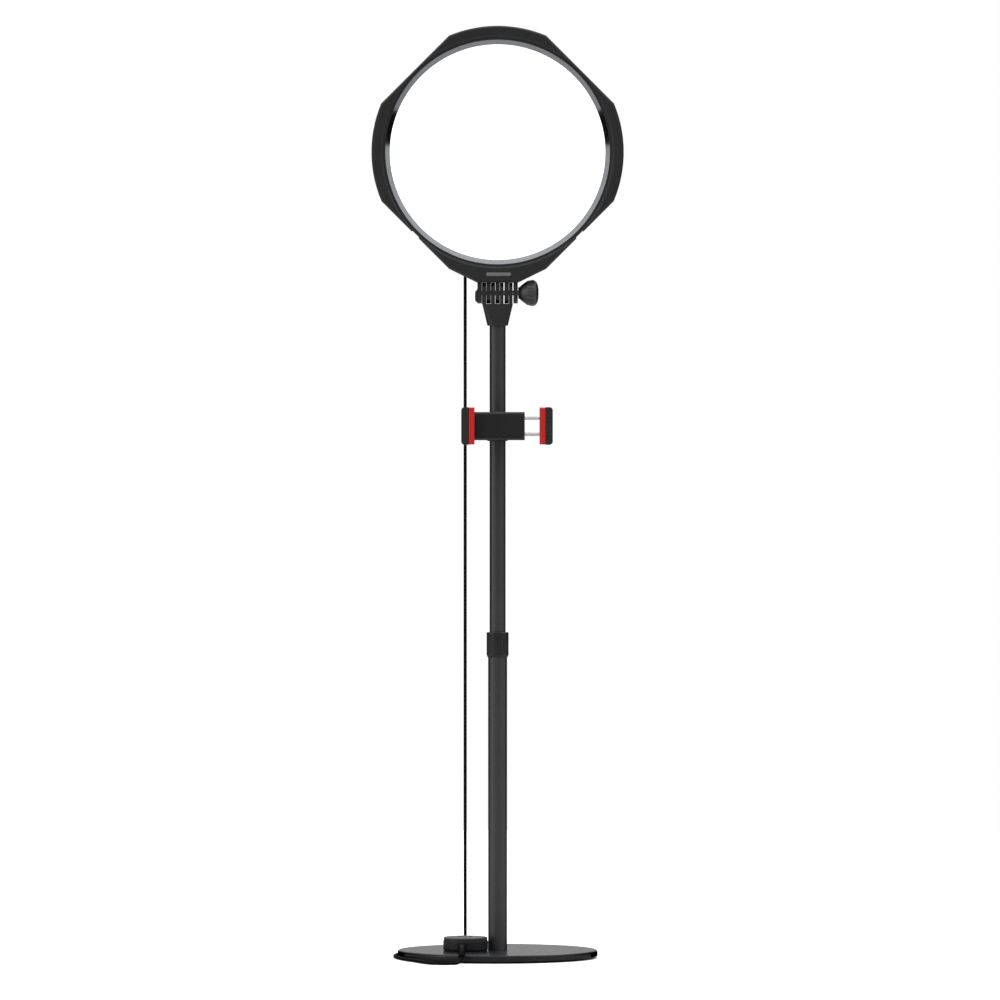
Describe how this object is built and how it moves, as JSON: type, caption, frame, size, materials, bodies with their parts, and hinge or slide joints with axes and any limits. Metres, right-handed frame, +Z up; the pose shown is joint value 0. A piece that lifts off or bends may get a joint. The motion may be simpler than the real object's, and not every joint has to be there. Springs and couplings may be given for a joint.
{
  "type": "ring light",
  "caption": "Edge-lit round LED panel in an eight-sided frame on a telescopic pole with a disc base, a tilting hinge, a sprung phone grip on a ball joint and a wired remote.",
  "frame": {"origin": "centre of the round base's underside, on the surface it stands on", "axes": "+Z up along the pole; -Y is the front, where the panel shines and the phone faces; +X to the right seen from the front"},
  "size_m": [0.252, 0.2915, 0.931],
  "materials": {
    "powder_coated_steel": "satin powder coat",
    "powder_coated_tube": "satin powder coat",
    "housing_plastic": "fine spark texture",
    "black_nylon": "matt",
    "knob_plastic": "matt",
    "remote_plastic": "matt",
    "remote_top_plastic": "satin",
    "button_plastic": "satin",
    "foot_rubber": "matt",
    "cable_rubber": "matt",
    "red_rubber": "satin",
    "tie_fabric": "woven",
    "zinc_steel": "satin",
    "black_screw_steel": "black oxide",
    "nickel_shell": "bright",
    "trim_chrome": "metallised gloss",
    "opal_diffuser": "opal, lit from behind",
    "clear_acrylic": "polished",
    "white_film": "white",
    "led_flex": "LEDs on a flexible strip",
    "tray_aluminium": "pressed sheet",
    "circuit_board": "solder mask"
  },
  "bodies": {
    "base": {"base_plate": "powder_coated_steel", "base_foot_pad": "foot_rubber", "base_bolt": "zinc_steel", "tube_foot_plug": "zinc_steel", "lower_tube": "powder_coated_tube", "lock_ferrule": "black_nylon", "puck_shell": "remote_plastic", "puck_floor": "remote_plastic", "puck_screws": "black_screw_steel", "puck_board": "circuit_board", "puck_cap": "remote_top_plastic", "front_strain_relief": "cable_rubber", "rear_strain_relief": "cable_rubber", "head_lead_lower": "cable_rubber", "power_lead": "cable_rubber", "power_lead_coil": "cable_rubber", "power_lead_tail": "cable_rubber", "coil_tie": "tie_fabric", "usb_plug_body": "cable_rubber", "usb_plug_shell": "nickel_shell"},
    "collar": {"lock_collar": "black_nylon"},
    "pole": {"upper_tube": "powder_coated_tube", "slide_bush": "black_nylon", "pole_head": "housing_plastic", "pole_grub_screw": "black_screw_steel"},
    "head": {"front_bezel": "housing_plastic", "rear_cover": "housing_plastic", "trim_ring": "trim_chrome", "diffuser": "opal_diffuser", "light_guide": "clear_acrylic", "reflector_sheet": "white_film", "led_strip": "led_flex", "heat_tray": "tray_aluminium", "head_screws": "black_screw_steel", "driver_board": "circuit_board", "tilt_knuckle": "housing_plastic", "dome_nut": "black_nylon", "gland_housing": "housing_plastic", "head_strain_relief": "cable_rubber", "head_lead_upper": "cable_rubber"},
    "tilt_knob": {"tilt_bolt": "zinc_steel", "tilt_knob": "knob_plastic"},
    "liner": {"clamp_liner": "foot_rubber"},
    "clamp": {"clamp_front": "housing_plastic", "clamp_rear": "housing_plastic", "clamp_fasteners": "black_screw_steel"},
    "clamp_knob": {"clamp_thumbscrew": "knob_plastic"},
    "lock_ring": {"ball_lock_ring": "black_nylon"},
    "ball": {"ball_stud": "zinc_steel"},
    "grip": {"grip_body": "housing_plastic", "back_pad": "foot_rubber", "fixed_jaw": "housing_plastic", "fixed_jaw_pad": "red_rubber", "jaw_springs": "zinc_steel"},
    "jaw": {"sliding_jaw": "housing_plastic", "sliding_jaw_pad": "red_rubber", "jaw_rods": "nickel_shell"},
    "dial": {"dial_ring": "remote_top_plastic"},
    "power_button": {"power_button": "button_plastic"},
    "mode_button": {"mode_button": "button_plastic"}
  },
  "joints": [
    {"name": "collar_twist", "type": "hinge", "parent": "base", "child": "collar", "pos_m": [0, 0, 0.3125], "axis": [0, 0, 1], "range_deg": [0, 60]},
    {"name": "pole_extend", "type": "slide", "parent": "base", "child": "pole", "axis": [0, 0, 1], "range_m": [-0.15, 0], "deforming": ["head_lead_lower"]},
    {"name": "light_tilt", "type": "hinge", "parent": "pole", "child": "head", "pos_m": [0, 0, 0.6645], "axis": [1, 0, 0], "range_deg": [-90, 90], "deforming": ["head_lead_upper"]},
    {"name": "tilt_knob_turn", "type": "hinge", "parent": "head", "child": "tilt_knob", "pos_m": [0, 0, 0.6645], "axis": [1, 0, 0], "continuous": true},
    {"name": "clamp_slide", "type": "slide", "parent": "pole", "child": "liner", "axis": [0, 0, 1], "range_m": [-0.035, 0.055]},
    {"name": "clamp_swivel", "type": "hinge", "parent": "liner", "child": "clamp", "pos_m": [0, 0, 0.531], "axis": [0, 0, 1], "range_deg": [-60, 60]},
    {"name": "clamp_screw_turn", "type": "hinge", "parent": "clamp", "child": "clamp_knob", "pos_m": [0.019, 0.01, 0.531], "axis": [0, 1, 0], "continuous": true},
    {"name": "lock_ring_turn", "type": "hinge", "parent": "clamp", "child": "lock_ring", "pos_m": [0, -0.02, 0.531], "axis": [0, -1, 0], "range_deg": [0, 90]},
    {"name": "ball_tilt", "type": "hinge", "parent": "clamp", "child": "ball", "pos_m": [0, -0.022, 0.531], "axis": [1, 0, 0], "range_deg": [-25, 25]},
    {"name": "grip_roll", "type": "hinge", "parent": "ball", "child": "grip", "pos_m": [0, -0.038, 0.531], "axis": [0, -1, 0], "range_deg": [-90, 90]},
    {"name": "jaw_slide", "type": "slide", "parent": "grip", "child": "jaw", "axis": [1, 0, 0], "range_m": [-0.0135, 0.0145], "stiffness_N_per_m": 250, "springref_m": -0.02, "deforming": ["jaw_springs"]},
    {"name": "dial_turn", "type": "hinge", "parent": "base", "child": "dial", "pos_m": [-0.032, -0.018, 0.02], "axis": [0, 0, 1], "continuous": true},
    {"name": "power_press", "type": "slide", "parent": "base", "child": "power_button", "axis": [0, 0, -1], "range_m": [0, 0.0005], "stiffness_N_per_m": 600},
    {"name": "mode_press", "type": "slide", "parent": "base", "child": "mode_button", "axis": [0, 0, -1], "range_m": [0, 0.0005], "stiffness_N_per_m": 600}
  ]
}
